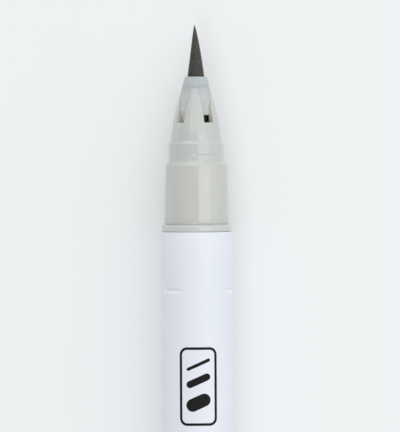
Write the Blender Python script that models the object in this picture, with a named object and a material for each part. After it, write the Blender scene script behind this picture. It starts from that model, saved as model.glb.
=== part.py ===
"""Calligraphy marker with a real-bristle tip, uncapped, its cap posted on the tail.

The marker lies on a table with its axis along Y and its brush pointing to +Y.
Lengths along the axis are stations, in metres behind a datum on that axis:
the brush point for the pen, the pivot for the brush and the rim for the cap.
"""

import math

import bmesh
import bpy

MM = 0.001

# Driving dimensions
BARREL_RADIUS = 5.6 * MM
BARREL_LENGTH = 101.0 * MM  # from the mouth to the end of the tail plug
CAP_LENGTH = 40.0 * MM
STUB_LENGTH = 10.3 * MM  # the part of the tail that goes into the posted cap
COLLAR_APOTHEM = 6.0 * MM  # hexagon on the cap that stops it rolling
FIT = 0.08 * MM  # radial gap of a press fit
GAP = 0.10 * MM  # axial gap between pieces that meet
SIDES = 48
SMALL_SIDES = 32

# Brush and ferrule
BRUSH_RADIUS = 1.33 * MM
BRUSH_TAPER = 0.8  # radius grows as this power of the distance from the point
FERRULE_MOUTH = 8.05 * MM
FERRULE_RING_END = 9.80 * MM
FERRULE_END = 13.80 * MM
FERRULE_RADIUS = 1.96 * MM
LAND_RADIUS = 2.70 * MM  # lands on the ferrule fill the front of the windows
LAND_MARGIN = math.radians(1.5)
TAB_FRONT = 12.60 * MM  # two of the lands rise to tabs that snap into their windows
TAB_FULL = 14.20 * MM
TAB_END = 15.05 * MM
TAB_RADIUS = 3.10 * MM
ROOT_FRONT = FERRULE_MOUTH + BRUSH_RADIUS + 2 * GAP
ROOT_FLANGE_RADIUS = 2.00 * MM
ROOT_END = 15.70 * MM

# Grip section
NOSE_FRONT = FERRULE_RING_END + GAP
NOSE_FRONT_RADIUS = 2.20 * MM
NOSE_END = 18.00 * MM
NOSE_END_RADIUS = 3.93 * MM
NOSE_POWER = 1.5  # how fast the nose fills out behind its front rim
COLLAR_FRONT = 18.50 * MM
COLLAR_REAR = 21.05 * MM
COLLAR_RADIUS = 4.28 * MM
GRIP_FRONT = 21.75 * MM
GRIP_FRONT_RADIUS = 4.80 * MM
GRIP_REAR = 31.15 * MM
GRIP_REAR_RADIUS = 5.04 * MM
FLANGE_REAR = 32.30 * MM
FLANGE_RADIUS = 5.43 * MM
SECTION_END = 44.00 * MM
PETAL_ANGLE = math.radians(94)  # middle of the narrow petal between two windows
WINDOW_EDGES = [  # station, then each side's angle from the narrow petal's middle
    (9.40 * MM, math.radians(13), math.radians(80)),
    (10.60 * MM, math.radians(19), math.radians(68)),
    (11.70 * MM, math.radians(23), math.radians(63)),
    (15.15 * MM, math.radians(27), math.radians(55)),
]
SECTION_BORE = [  # station and radius, from the rear
    (20.6 * MM, 3.70 * MM),
    (19.8 * MM, 3.30 * MM),
    (17.6 * MM, 3.30 * MM),
    (15.6 * MM, 2.72 * MM),
    (13.9 * MM, 2.64 * MM),
    (11.2 * MM, FERRULE_RADIUS + FIT),
]

# Barrel and tail
BARREL_MOUTH = FLANGE_REAR + GAP
BARREL_BORE = 4.80 * MM
BARREL_TAIL_BORE = 4.20 * MM
STUB_RADIUS = 5.02 * MM
PEN_END = BARREL_MOUTH + BARREL_LENGTH
PLUG_HEAD = 3.5 * MM
TAIL_STEP = PEN_END - STUB_LENGTH
CRIMP_STATION = 41.40 * MM
CRIMP_HALF = 0.32 * MM
CRIMP_DEPTH = 0.25 * MM
CRIMP_WIDTH = math.radians(46)
CRIMP_ANGLES = [math.radians(a) for a in (135, 15, 255)]  # from +X towards +Z

# Ink supply
WICK_RADIUS = 1.20 * MM
WICK_FRONT = ROOT_END + GAP
WICK_END = 62.0 * MM
HOLDER_FRONT = 16.30 * MM
HOLDER_END = 45.30 * MM
WADDING_FRONT = HOLDER_END + 0.6 * MM
WADDING_END = 119.0 * MM
WADDING_RADIUS = 4.35 * MM
FILM_WALL = 0.18 * MM

# Cap
CAP_RIM = TAIL_STEP + 0.3 * MM
CAP_RIM_RADIUS = 5.95 * MM
CAP_END_RADIUS = 5.55 * MM
CAP_BORE = 5.15 * MM
CAP_END_WALL = 1.2 * MM
COLLAR_START = 2.0 * MM
COLLAR_WIDTH = 3.4 * MM
INNER_CAP_FRONT = 10.6 * MM
INNER_CAP_END = 34.6 * MM
SEAL_FIT_END = 17.8 * MM

TOTAL_LENGTH = CAP_RIM + CAP_LENGTH
TIP_Y = TOTAL_LENGTH / 2
AXIS_HEIGHT = COLLAR_APOTHEM


def material(name, colour, roughness):
    """A Principled material of one colour."""
    made = bpy.data.materials.new(name)
    made.use_nodes = True
    shader = made.node_tree.nodes["Principled BSDF"]
    shader.inputs["Base Color"].default_value = (*colour, 1.0)
    shader.inputs["Roughness"].default_value = roughness
    return made


def datum(name, station, parent=None):
    """An empty on the pen's axis, a station behind the brush point."""
    empty = bpy.data.objects.new(name, None)
    bpy.context.scene.collection.objects.link(empty)
    if parent is None:
        empty.location = (0, TIP_Y - station, AXIS_HEIGHT)
    else:
        empty.parent = parent
        empty.location = (0, -station, 0)
    return empty


def finished(name, bm, parent, finish):
    """Turns a bmesh into a named object with outward normals, held by a datum."""
    bmesh.ops.recalc_face_normals(bm, faces=bm.faces)
    mesh = bpy.data.meshes.new(name)
    bm.to_mesh(mesh)
    bm.free()
    mesh.shade_smooth()
    mesh.set_sharp_from_angle(angle=math.radians(30))
    obj = bpy.data.objects.new(name, mesh)
    bpy.context.scene.collection.objects.link(obj)
    obj.parent = parent
    if finish is not None:
        mesh.materials.append(finish)
    return obj


def turned(name, outline, parent, finish, sides=SIDES):
    """A solid turned about the Y axis from (station, radius) points.

    An outline that starts and ends on the axis is a solid body, and any other
    is closed into a ring.
    """
    bm = bmesh.new()
    points = [bm.verts.new((radius, -station, 0)) for station, radius in outline]
    pairs = list(zip(points, points[1:]))
    if outline[0][1] > 0:
        pairs.append((points[-1], points[0]))
    edges = [bm.edges.new(pair) for pair in pairs]
    bmesh.ops.spin(
        bm, geom=points + edges, cent=(0, 0, 0), axis=(0, 1, 0), angle=2 * math.pi, steps=sides
    )
    bmesh.ops.remove_doubles(bm, verts=bm.verts, dist=1e-7)
    return finished(name, bm, parent, finish)


def sector(name, rows, parent, steps=6):
    """A block bent round the axis, through a cross-section at each station.

    A row is a station, the block's two radii, and the angles of its two sides
    from +X towards +Z.
    """
    bm = bmesh.new()
    loops = []
    for station, low, high, first, last in rows:
        angles = [first + (last - first) * i / steps for i in range(steps + 1)]
        ring = [(high, a) for a in angles] + [(low, a) for a in reversed(angles)]
        points = [(r * math.cos(a), -station, r * math.sin(a)) for r, a in ring]
        loops.append([bm.verts.new(point) for point in points])
    for before, after in zip(loops, loops[1:]):
        for i in range(len(before)):
            bm.faces.new((before[i - 1], before[i], after[i], after[i - 1]))
    for end in (loops[0], loops[-1]):
        high_side, low_side = end[: steps + 1], end[: steps : -1]
        for i in range(steps):
            bm.faces.new((high_side[i], high_side[i + 1], low_side[i + 1], low_side[i]))
    return finished(name, bm, parent, None)


def block_rows(stations, radii, centre, width):
    """Rows for a sector with one cross-section from end to end."""
    return [(station, *radii, centre - width / 2, centre + width / 2) for station in stations]


def prism(name, outline, half_height, parent):
    """A flat outline of (x, station) points, extruded both ways along Z."""
    bm = bmesh.new()
    base = bm.faces.new([bm.verts.new((x, -s, -half_height)) for x, s in outline])
    grown = bmesh.ops.extrude_face_region(bm, geom=[base])
    raised = [v for v in grown["geom"] if isinstance(v, bmesh.types.BMVert)]
    bmesh.ops.translate(bm, vec=(0, 0, 2 * half_height), verts=raised)
    return finished(name, bm, parent, None)


def combine(target, helper, operation):
    """Adds or cuts a helper shape, which is left out of the model."""
    modifier = target.modifiers.new(helper.name, "BOOLEAN")
    modifier.operation = operation
    modifier.solver = "EXACT"
    modifier.object = helper
    helper.hide_render = True
    helper.display_type = "WIRE"


def corner(station, radius, size, turn, steps=3):
    """A rounded corner: quarter circle of this size, its centre at (station, radius).

    turn is the quarter, in degrees, that the arc starts at; it runs 90 degrees on.
    """
    angles = [math.radians(turn + 90 * i / steps) for i in range(steps + 1)]
    return [(station + size * math.cos(a), radius + size * math.sin(a)) for a in angles]


def nose_radius(station):
    """Outer radius of the ogive nose between its front rim and its end."""
    share = (station - NOSE_FRONT) / (NOSE_END - NOSE_FRONT)
    return NOSE_END_RADIUS - (NOSE_END_RADIUS - NOSE_FRONT_RADIUS) * (1 - share) ** NOSE_POWER


def window_places():
    """Each window's petal angle, and the side of that petal that it is on."""
    return [(PETAL_ANGLE + turn, side) for turn in (0, math.pi) for side in (-1, 1)]


def window_angles(station):
    """Angles of a window's two sides from the narrow petal's middle, at a station."""
    for (front, *here), (rear, *there) in zip(WINDOW_EDGES, WINDOW_EDGES[1:]):
        if station <= rear:
            break
    share = (station - front) / (rear - front)
    return [a + (b - a) * share for a, b in zip(here, there)]


def inside_window(station, base, side, margin):
    """Angles of the two sides of a block that leaves this margin in a window."""
    near, far = window_angles(station)
    return base + side * (near + margin), base + side * (far - margin)


def brush_radius(station):
    """Radius of the bristles, a station behind their point."""
    return BRUSH_RADIUS * (station / FERRULE_MOUTH) ** BRUSH_TAPER


def make_brush(pivot, bristle):
    """The exposed bristles, on a round root that turns in the ferrule's mouth."""
    shares = (0, 0.03, 0.08, 0.16, 0.28, 0.42, 0.58, 0.74, 0.88)
    outline = [
        (FERRULE_MOUTH * (share - 1), brush_radius(FERRULE_MOUTH * share)) for share in shares
    ]
    steps = 5
    for i in range(steps + 1):
        angle = math.pi / 2 * i / steps
        radius = BRUSH_RADIUS * math.cos(angle) if i < steps else 0
        outline.append((BRUSH_RADIUS * math.sin(angle), radius))
    turned("bristle_tip", outline, pivot, bristle, SMALL_SIDES)


def make_bristle_root(pen, bristle):
    """The bound bundle inside the ferrule, fused into a flange at its rear."""
    shoulder = FERRULE_END + GAP
    outline = [
        (ROOT_FRONT, 0),
        (ROOT_FRONT, BRUSH_RADIUS),
        (shoulder, BRUSH_RADIUS),
        (shoulder, ROOT_FLANGE_RADIUS),
        (ROOT_END - 0.3 * MM, ROOT_FLANGE_RADIUS),
        (ROOT_END, ROOT_FLANGE_RADIUS - 0.3 * MM),
        (ROOT_END, 0),
    ]
    turned("bristle_root", outline, pen, bristle, SMALL_SIDES)


def make_ferrule(pen, frosted):
    """The brush holder: a ring, and a tube whose lands and snap tabs key into the windows."""
    ring_front_radius = 1.78 * MM
    bore = 1.42 * MM
    round_edge = 0.12 * MM
    outline = [
        (FERRULE_MOUTH + 0.10 * MM, bore + 0.03 * MM),
        (FERRULE_MOUTH, bore + 0.13 * MM),
        (FERRULE_MOUTH, ring_front_radius - round_edge),
        (FERRULE_MOUTH + 0.04 * MM, ring_front_radius - 0.04 * MM),
        (FERRULE_MOUTH + round_edge, ring_front_radius),
        (FERRULE_RING_END, NOSE_FRONT_RADIUS - 0.02 * MM),
        (FERRULE_RING_END, FERRULE_RADIUS),
        (FERRULE_END - 0.15 * MM, FERRULE_RADIUS),
        (FERRULE_END, FERRULE_RADIUS - 0.15 * MM),
        (FERRULE_END, bore),
    ]
    ferrule = turned("ferrule", outline, pen, frosted)
    inner = FERRULE_RADIUS - 0.25 * MM
    land_ends = (FERRULE_RING_END - GAP, FERRULE_END - 0.02 * MM)
    land_stations = sorted([*land_ends, *(station for station, _, _ in WINDOW_EDGES[1:3])])
    tab_bore = ROOT_FLANGE_RADIUS + FIT
    tab_rows = [
        (TAB_FRONT, tab_bore, LAND_RADIUS - 0.2 * MM),
        (TAB_FULL, tab_bore, TAB_RADIUS),
        (TAB_END - 0.1 * MM, tab_bore, TAB_RADIUS),
        (TAB_END, tab_bore, TAB_RADIUS - 0.1 * MM),
    ]
    for i, (base, side) in enumerate(window_places()):
        rows = []
        for station in land_stations:
            outer = min(nose_radius(max(station, NOSE_FRONT)) - 0.02 * MM, LAND_RADIUS)
            rows.append((station, inner, outer, *inside_window(station, base, side, LAND_MARGIN)))
        combine(ferrule, sector(f"ferrule_land_{i}", rows, pen), "UNION")
        if side > 0:
            rows = [(*row, *inside_window(row[0], base, side, 2 * LAND_MARGIN)) for row in tab_rows]
            combine(ferrule, sector(f"ferrule_tab_{i}", rows, pen), "UNION")


def section_outline():
    """The grip section's wall, outside from front to rear and back along its bore."""
    nose_steps = 9
    nose = [
        NOSE_FRONT + (NOSE_END - NOSE_FRONT) * i / nose_steps for i in range(nose_steps + 1)
    ]
    tail_radius = BARREL_BORE - FIT
    groove_radius = tail_radius - 0.4 * MM
    groove_half = CRIMP_HALF + 0.15 * MM
    outside = [(station, nose_radius(station)) for station in nose]
    outside += [
        (COLLAR_FRONT, COLLAR_RADIUS),
        (COLLAR_REAR - 0.8 * MM, COLLAR_RADIUS - 0.03 * MM),
        (COLLAR_REAR, COLLAR_RADIUS + 0.06 * MM),
        (GRIP_FRONT - 0.2 * MM, GRIP_FRONT_RADIUS - 0.08 * MM),
        (GRIP_FRONT + 0.15 * MM, GRIP_FRONT_RADIUS),
        (GRIP_REAR, GRIP_REAR_RADIUS),
        (GRIP_REAR + 0.05 * MM, FLANGE_RADIUS - 0.15 * MM),
        (GRIP_REAR + 0.20 * MM, FLANGE_RADIUS),
        (FLANGE_REAR, FLANGE_RADIUS),
        (FLANGE_REAR, tail_radius),
        (CRIMP_STATION - groove_half, tail_radius),
        (CRIMP_STATION - groove_half, groove_radius),
        (CRIMP_STATION + groove_half, groove_radius),
        (CRIMP_STATION + groove_half, tail_radius),
        (SECTION_END - 0.4 * MM, tail_radius),
        (SECTION_END, tail_radius - 0.4 * MM),
    ]
    inside = [
        (SECTION_END, SECTION_BORE[0][1]),
        *SECTION_BORE,
        (NOSE_FRONT, FERRULE_RADIUS + FIT),
    ]
    return outside + inside


def make_section(pen, grey):
    """The grey grip with its stepped collars; four ink windows part its nose into petals."""
    section = turned("grip_section", section_outline(), pen, grey)
    for i, (base, side) in enumerate(window_places()):
        rows = [
            (station, 1.5 * MM, 6 * MM, base + side * near, base + side * far)
            for station, near, far in WINDOW_EDGES
        ]
        combine(section, sector(f"window_cutter_{i}", rows, pen), "DIFFERENCE")


def make_wick(pen, ink):
    """The fibre rod that carries ink from the wadding to the bristle root."""
    chamfer = 0.3 * MM
    outline = [
        (WICK_FRONT, 0),
        (WICK_FRONT, WICK_RADIUS - chamfer),
        (WICK_FRONT + chamfer, WICK_RADIUS),
        (WICK_END - chamfer, WICK_RADIUS),
        (WICK_END, WICK_RADIUS - chamfer),
        (WICK_END, 0),
    ]
    turned("feed_wick", outline, pen, ink, SMALL_SIDES)


def make_wick_holder(pen, white):
    """The sleeve that centres the wick, with air ribs and a notched rear flange."""
    sleeve_radius = 1.90 * MM
    rib_radius = 3.55 * MM
    flange_radius = 4.55 * MM
    flange_front = SECTION_END + 0.3 * MM
    bore = WICK_RADIUS + FIT
    outline = [
        (HOLDER_FRONT, bore),
        (HOLDER_FRONT, sleeve_radius),
        (flange_front, sleeve_radius),
        (flange_front, flange_radius),
        (HOLDER_END, flange_radius),
        (HOLDER_END, bore),
    ]
    holder = turned("wick_holder", outline, pen, white)
    cut_ends = (HOLDER_FRONT - MM, HOLDER_END + MM)
    bore_outline = [(cut_ends[0], 0), (cut_ends[0], bore), (cut_ends[1], bore), (cut_ends[1], 0)]
    rib_half = 0.3 * MM
    rib_ends = (22.5 * MM, flange_front + 0.4 * MM)
    notch_ends = (flange_front - MM, HOLDER_END + MM)
    for i in range(3):
        turn = math.pi / 3 * i
        plate = [(-rib_radius, rib_ends[0]), (rib_radius, rib_ends[0])]
        plate += [(rib_radius, rib_ends[1]), (-rib_radius, rib_ends[1])]
        rib = prism(f"air_rib_{i}", plate, rib_half, pen)
        rib.rotation_euler = (0, turn, 0)
        combine(holder, rib, "UNION")
    combine(holder, turned("wick_bore", bore_outline, pen, None), "DIFFERENCE")
    for i in range(6):
        angle = math.pi / 6 + math.pi / 3 * i
        rows = block_rows(notch_ends, (3.9 * MM, 5.2 * MM), angle, math.radians(16))
        notch = sector(f"air_notch_{i}", rows, pen, steps=2)
        combine(holder, notch, "DIFFERENCE")


def make_reservoir(pen, wadding, film):
    """The ink wadding, bored for the wick, in its thin film sleeve."""
    bore = WICK_RADIUS + FIT
    bore_end = WICK_END + 0.4 * MM
    outline = [
        (bore_end, 0),
        (bore_end, bore),
        (WADDING_FRONT, bore),
        (WADDING_FRONT, WADDING_RADIUS),
        (WADDING_END, WADDING_RADIUS),
        (WADDING_END, 0),
    ]
    turned("reservoir_wadding", outline, pen, wadding)
    film_bore = WADDING_RADIUS + FIT
    overhang = 0.2 * MM
    front, rear = WADDING_FRONT - overhang, WADDING_END + overhang
    outline = [
        (front, film_bore),
        (front, film_bore + FILM_WALL),
        (rear, film_bore + FILM_WALL),
        (rear, film_bore),
    ]
    turned("reservoir_film", outline, pen, film)


def make_barrel(pen, white):
    """The white tube, dented in three places into the section's groove."""
    chamfer = 0.15 * MM
    wadding_bore = 4.75 * MM
    stub_end = PEN_END - PLUG_HEAD - GAP
    outline = [
        (BARREL_MOUTH, BARREL_BORE + chamfer),
        (BARREL_MOUTH, BARREL_RADIUS - chamfer),
        (BARREL_MOUTH + chamfer, BARREL_RADIUS),
        (TAIL_STEP - 0.45 * MM, BARREL_RADIUS),
        (TAIL_STEP, BARREL_RADIUS - 0.30 * MM),
        (TAIL_STEP, STUB_RADIUS),
        (stub_end, STUB_RADIUS),
        (stub_end, BARREL_TAIL_BORE),
        (WADDING_END + 1.6 * MM, BARREL_TAIL_BORE),
        (WADDING_END + 1.0 * MM, wadding_bore),
        (SECTION_END + 0.2 * MM, wadding_bore),
        (SECTION_END + 0.1 * MM, BARREL_BORE),
        (BARREL_MOUTH + chamfer, BARREL_BORE),
    ]
    barrel = turned("barrel", outline, pen, white)
    ends = (CRIMP_STATION - CRIMP_HALF, CRIMP_STATION + CRIMP_HALF)
    for i, angle in enumerate(CRIMP_ANGLES):
        inward = (BARREL_BORE - CRIMP_DEPTH, BARREL_BORE + 0.3 * MM)
        outward = (BARREL_RADIUS - CRIMP_DEPTH, BARREL_RADIUS + MM)
        lug = sector(f"crimp_lug_{i}", block_rows(ends, inward, angle, CRIMP_WIDTH), pen)
        dent = sector(f"crimp_dent_{i}", block_rows(ends, outward, angle, CRIMP_WIDTH), pen)
        combine(barrel, lug, "UNION")
        combine(barrel, dent, "DIFFERENCE")


def make_tail_plug(pen, ink_plastic):
    """The plug that closes the tail, hollow from the front, with a rounded head."""
    head_radius = 5.0 * MM
    body_radius = BARREL_TAIL_BORE - FIT
    wall = 0.8 * MM
    head_front = PEN_END - PLUG_HEAD
    body_front = WADDING_END + 2.0 * MM
    edge = 0.6 * MM
    outline = [
        (PEN_END - 1.2 * MM, 0),
        (PEN_END - 1.2 * MM, body_radius - wall),
        (body_front, body_radius - wall),
        (body_front, body_radius - 0.2 * MM),
        (body_front + 0.4 * MM, body_radius),
        (head_front, body_radius),
        (head_front, head_radius),
        *reversed(corner(PEN_END - edge, head_radius - edge, edge, 0)),
        (PEN_END, 0),
    ]
    turned("tail_plug", outline, pen, ink_plastic)


def make_cap(cap, ink_plastic, white):
    """The posted cap: a vented outer shell and the inner cap that seals the nose."""
    end_edge = 0.7 * MM
    bore_step = 10.4 * MM
    deep_bore = 5.00 * MM
    floor = CAP_LENGTH - CAP_END_WALL
    shell_outline = [
        (0, 0),
        (0, CAP_RIM_RADIUS - 0.2 * MM),
        (0.2 * MM, CAP_RIM_RADIUS),
        *reversed(corner(CAP_LENGTH - end_edge, CAP_END_RADIUS - end_edge, end_edge, 0)),
        (CAP_LENGTH, 0),
    ]
    shell = turned("cap_shell", shell_outline, cap, ink_plastic)
    across_corners = COLLAR_APOTHEM / math.cos(math.pi / 6)
    collar_outline = [
        (COLLAR_START, 0),
        (COLLAR_START, across_corners),
        (COLLAR_START + COLLAR_WIDTH, across_corners),
        (COLLAR_START + COLLAR_WIDTH, 0),
    ]
    collar = turned("roll_stop", collar_outline, cap, None, sides=6)
    combine(shell, collar, "UNION")
    bore_outline = [
        (-MM, 0),
        (-MM, CAP_BORE + 1.2 * MM),
        (0.2 * MM, CAP_BORE),
        (bore_step, CAP_BORE),
        (bore_step + 0.2 * MM, deep_bore),
        (SEAL_FIT_END, deep_bore),
        (floor, deep_bore - 0.5 * MM),
        (floor, 0),
    ]
    combine(shell, turned("cap_bore", bore_outline, cap, None), "DIFFERENCE")
    for i in range(3):
        angle = math.pi / 2 + 2 * math.pi / 3 * i
        ends = (floor - MM, CAP_LENGTH + MM)
        rows = block_rows(ends, (3.3 * MM, 4.1 * MM), angle, math.radians(60))
        vent = sector(f"cap_vent_{i}", rows, cap)
        combine(shell, vent, "DIFFERENCE")

    wall = 0.6 * MM
    inner_outline = [
        (INNER_CAP_END, 0),
        (INNER_CAP_END, 3.5 * MM),
        (19.0 * MM, 4.4 * MM),
        (SEAL_FIT_END - 0.4 * MM, deep_bore - FIT),
        (INNER_CAP_FRONT, deep_bore - FIT),
        (INNER_CAP_FRONT, COLLAR_RADIUS + 0.3 * MM),
        (INNER_CAP_FRONT + 0.3 * MM, COLLAR_RADIUS + 0.1 * MM),
        (13.4 * MM, COLLAR_RADIUS + 0.1 * MM),
        (17.0 * MM, 4.1 * MM),
        (21.0 * MM, 3.4 * MM),
        (INNER_CAP_END - wall, 3.0 * MM),
        (INNER_CAP_END - wall, 0),
    ]
    turned("inner_cap", inner_outline, cap, white)


def main():
    for obj in list(bpy.data.objects):
        bpy.data.objects.remove(obj)

    bristle = material("bristle", (0.045, 0.043, 0.038), 0.45)
    frosted = material("frosted_ferrule", (0.52, 0.57, 0.60), 0.35)
    grey = material("grip_grey", (0.56, 0.58, 0.54), 0.30)
    white = material("barrel_white", (0.82, 0.85, 0.93), 0.28)
    natural = material("natural_plastic", (0.78, 0.79, 0.77), 0.45)
    ink = material("ink_fibre", (0.030, 0.028, 0.025), 0.85)
    wadding = material("wadding", (0.060, 0.055, 0.050), 0.95)
    film = material("film", (0.85, 0.87, 0.88), 0.25)
    ink_plastic = material("cap_charcoal", (0.060, 0.058, 0.054), 0.30)

    pen = datum("pen_axis", 0)
    pivot = datum("brush_pivot", FERRULE_MOUTH, pen)
    cap = datum("cap_rim", CAP_RIM, pen)

    make_brush(pivot, bristle)
    make_bristle_root(pen, bristle)
    make_ferrule(pen, frosted)
    make_section(pen, grey)
    make_wick(pen, ink)
    make_wick_holder(pen, natural)
    make_reservoir(pen, wadding, film)
    make_barrel(pen, white)
    make_tail_plug(pen, ink_plastic)
    make_cap(cap, ink_plastic, natural)


main()
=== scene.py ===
"""Looks of the calligraphy marker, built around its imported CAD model.

The marker lies along Y with its brush towards +Y. A place on it is a station, in
metres behind the brush point, a radius from the axis, and an angle about the axis
from +X towards +Z. Stations and radii that the frame holds are read from it.
"""

import math
import random

import bmesh
import bpy
from mathutils import Matrix, Vector


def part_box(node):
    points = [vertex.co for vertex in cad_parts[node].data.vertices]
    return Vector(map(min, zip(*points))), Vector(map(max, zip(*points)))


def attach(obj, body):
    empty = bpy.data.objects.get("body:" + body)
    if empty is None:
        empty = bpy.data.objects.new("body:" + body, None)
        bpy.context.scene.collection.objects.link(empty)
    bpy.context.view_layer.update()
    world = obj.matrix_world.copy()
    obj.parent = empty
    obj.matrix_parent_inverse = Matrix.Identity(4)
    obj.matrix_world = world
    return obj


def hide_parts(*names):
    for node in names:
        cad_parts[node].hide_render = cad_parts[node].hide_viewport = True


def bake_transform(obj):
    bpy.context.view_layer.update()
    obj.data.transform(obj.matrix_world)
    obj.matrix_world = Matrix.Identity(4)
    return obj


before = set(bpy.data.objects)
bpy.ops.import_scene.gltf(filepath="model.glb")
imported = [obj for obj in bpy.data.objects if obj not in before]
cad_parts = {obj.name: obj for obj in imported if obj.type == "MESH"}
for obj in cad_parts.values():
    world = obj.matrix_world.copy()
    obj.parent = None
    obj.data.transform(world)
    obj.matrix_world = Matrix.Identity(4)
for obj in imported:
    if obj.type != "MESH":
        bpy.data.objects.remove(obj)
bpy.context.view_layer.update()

MM = 0.001
TIP_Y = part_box("bristle_tip")[1].y
AXIS_Z = sum(corner.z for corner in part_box("barrel")) / 2


def front_of(node):
    """Station of a CAD node's front end."""
    return TIP_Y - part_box(node)[1].y


def rear_of(node):
    """Station of a CAD node's rear end."""
    return TIP_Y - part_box(node)[0].y


def radius_of(node):
    """Largest radius of a round CAD node."""
    low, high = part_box(node)
    return (high.z - low.z) / 2


# Stations and radii of the visible pieces
BRUSH_RADIUS = radius_of("bristle_tip")
FERRULE_MOUTH = front_of("ferrule")
RING_END = 9.80 * MM
FERRULE_END = 13.80 * MM
FERRULE_TUBE_RADIUS = 1.96 * MM
LAND_END = 14.04 * MM  # lands on the ferrule's tube fill the front of the windows
LAND_RADIUS = 2.70 * MM
LAND_MARGIN = math.radians(0.3)
TAB_RADIUS = 2.90 * MM  # two of the lands rise to snap tabs
NOSE_FRONT = front_of("grip_section")
NOSE_FRONT_RADIUS = 2.20 * MM
NOSE_END = 18.00 * MM
NOSE_END_RADIUS = 3.93 * MM
NOSE_POWER = 1.5  # how fast the nose fills out behind its front rim
PETAL_ANGLE = math.radians(95.3)  # middle of the narrow petal between two windows
WINDOW_REAR = 15.22 * MM
WINDOW_EDGES = [  # station, then each side's angle from the narrow petal's middle
    (9.40 * MM, math.radians(13), math.radians(80)),
    (10.60 * MM, math.radians(19), math.radians(68)),
    (11.70 * MM, math.radians(22.5), math.radians(60)),
    (13.00 * MM, math.radians(25), math.radians(56)),
    (WINDOW_REAR, math.radians(26.5), math.radians(55.5)),
]
COLLAR_RADIUS = 4.285 * MM
GROOVE_RADIUS = 4.25 * MM  # of the fine groove across the collar
NECK_RADIUS = 4.94 * MM  # between the grip and the flange
FLANGE_REAR = 32.30 * MM
FLANGE_RADIUS = radius_of("grip_section")
SPIGOT_RADIUS = 4.72 * MM
SECTION_END = 44.0 * MM
BARREL_MOUTH = front_of("barrel")
BARREL_RADIUS = radius_of("barrel")
BARREL_END = rear_of("barrel")
PEN_END = rear_of("tail_plug")
CAP_RIM = front_of("cap_shell")
CAP_LENGTH = rear_of("cap_shell") - CAP_RIM
STOP_APOTHEM = radius_of("cap_shell")  # of the cap's hexagonal roll stop


def place(station, radius, angle):
    """The point at a station, radius and angle."""
    return Vector((radius * math.cos(angle), TIP_Y - station, AXIS_Z + radius * math.sin(angle)))


# Mesh building

MERGE_DISTANCE = 0.004 * MM
BEVEL_SEGMENTS = 2


def object_from(name, bm, material=None):
    """Turns a bmesh into a smooth-shaded object."""
    bmesh.ops.recalc_face_normals(bm, faces=bm.faces)
    mesh = bpy.data.meshes.new(name)
    bm.to_mesh(mesh)
    bm.free()
    mesh.shade_smooth()
    if material is not None:
        mesh.materials.append(material)
    made = bpy.data.objects.new(name, mesh)
    bpy.context.scene.collection.objects.link(made)
    return made


def join_rings(bm, rings):
    """Quads between each ring of vertices and the next."""
    count = len(rings[0])
    for before, after in zip(rings, rings[1:]):
        for i in range(count):
            j = (i + 1) % count
            bm.faces.new((before[i], before[j], after[j], after[i]))


def add_ring(bm, station, radius, columns):
    """A ring of vertices round the axis."""
    turn = 2 * math.pi / columns
    return [bm.verts.new(place(station, radius, turn * i)) for i in range(columns)]


def turned(name, outline, material, columns=128):
    """A solid turned from (station, radius) points.

    An outline with both ends on the axis is solid, and any other is closed into a ring.
    """
    bm = bmesh.new()
    rings = [add_ring(bm, s, r, columns) for s, r in outline if r > 0]
    if outline[0][1] > 0:
        join_rings(bm, rings + [rings[0]])
    else:
        join_rings(bm, rings)
        for ring, (station, _) in ((rings[0], outline[0]), (rings[-1], outline[-1])):
            centre = bm.verts.new(place(station, 0, 0))
            for i in range(columns):
                bm.faces.new((ring[i - 1], ring[i], centre))
    return object_from(name, bm, material)


def sector(name, rows, steps=8):
    """A block bent round the axis: each row is a station, two radii and two angles."""
    bm = bmesh.new()
    loops = []
    for station, low, high, first, last in rows:
        angles = [first + (last - first) * i / steps for i in range(steps + 1)]
        ring = [(high, a) for a in angles] + [(low, a) for a in reversed(angles)]
        loops.append([bm.verts.new(place(station, r, a)) for r, a in ring])
    join_rings(bm, loops)
    for end in (loops[0], loops[-1]):
        high_side, low_side = end[: steps + 1], end[: steps : -1]
        for i in range(steps):
            bm.faces.new((high_side[i], high_side[i + 1], low_side[i + 1], low_side[i]))
    return object_from(name, bm)


def combine(target, helper, operation):
    """Adds or cuts a helper shape, then removes the helper."""
    modifier = target.modifiers.new(helper.name, "BOOLEAN")
    modifier.operation = operation
    modifier.solver = "EXACT"
    modifier.object = helper
    apply_modifiers(target)
    bpy.data.objects.remove(helper)


def apply_modifiers(obj):
    """Replaces the mesh with its modified form."""
    graph = bpy.context.evaluated_depsgraph_get()
    mesh = bpy.data.meshes.new_from_object(obj.evaluated_get(graph))
    obj.modifiers.clear()
    obj.data = mesh


def merge_close(obj):
    """Joins the vertices that lie in almost the same place."""
    bm = bmesh.new()
    bm.from_mesh(obj.data)
    bmesh.ops.remove_doubles(bm, verts=bm.verts, dist=MERGE_DISTANCE)
    bm.to_mesh(obj.data)
    bm.free()


def soften(obj, width, angle):
    """Rounds the outward edges sharper than an angle, so that they catch the light."""
    merge_close(obj)
    bm = bmesh.new()
    bm.from_mesh(obj.data)
    weights = bm.edges.layers.float.new("bevel_weight_edge")
    for edge in bm.edges:
        if len(edge.link_faces) == 2 and edge.calc_face_angle_signed() > angle:
            edge[weights] = 1.0
    bm.to_mesh(obj.data)
    bm.free()
    modifier = obj.modifiers.new("soft_edges", "BEVEL")
    modifier.width = width
    modifier.segments = BEVEL_SEGMENTS
    modifier.limit_method = "WEIGHT"
    weighted = obj.modifiers.new("even_shading", "WEIGHTED_NORMAL")
    weighted.weight = 100
    apply_modifiers(obj)


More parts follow.
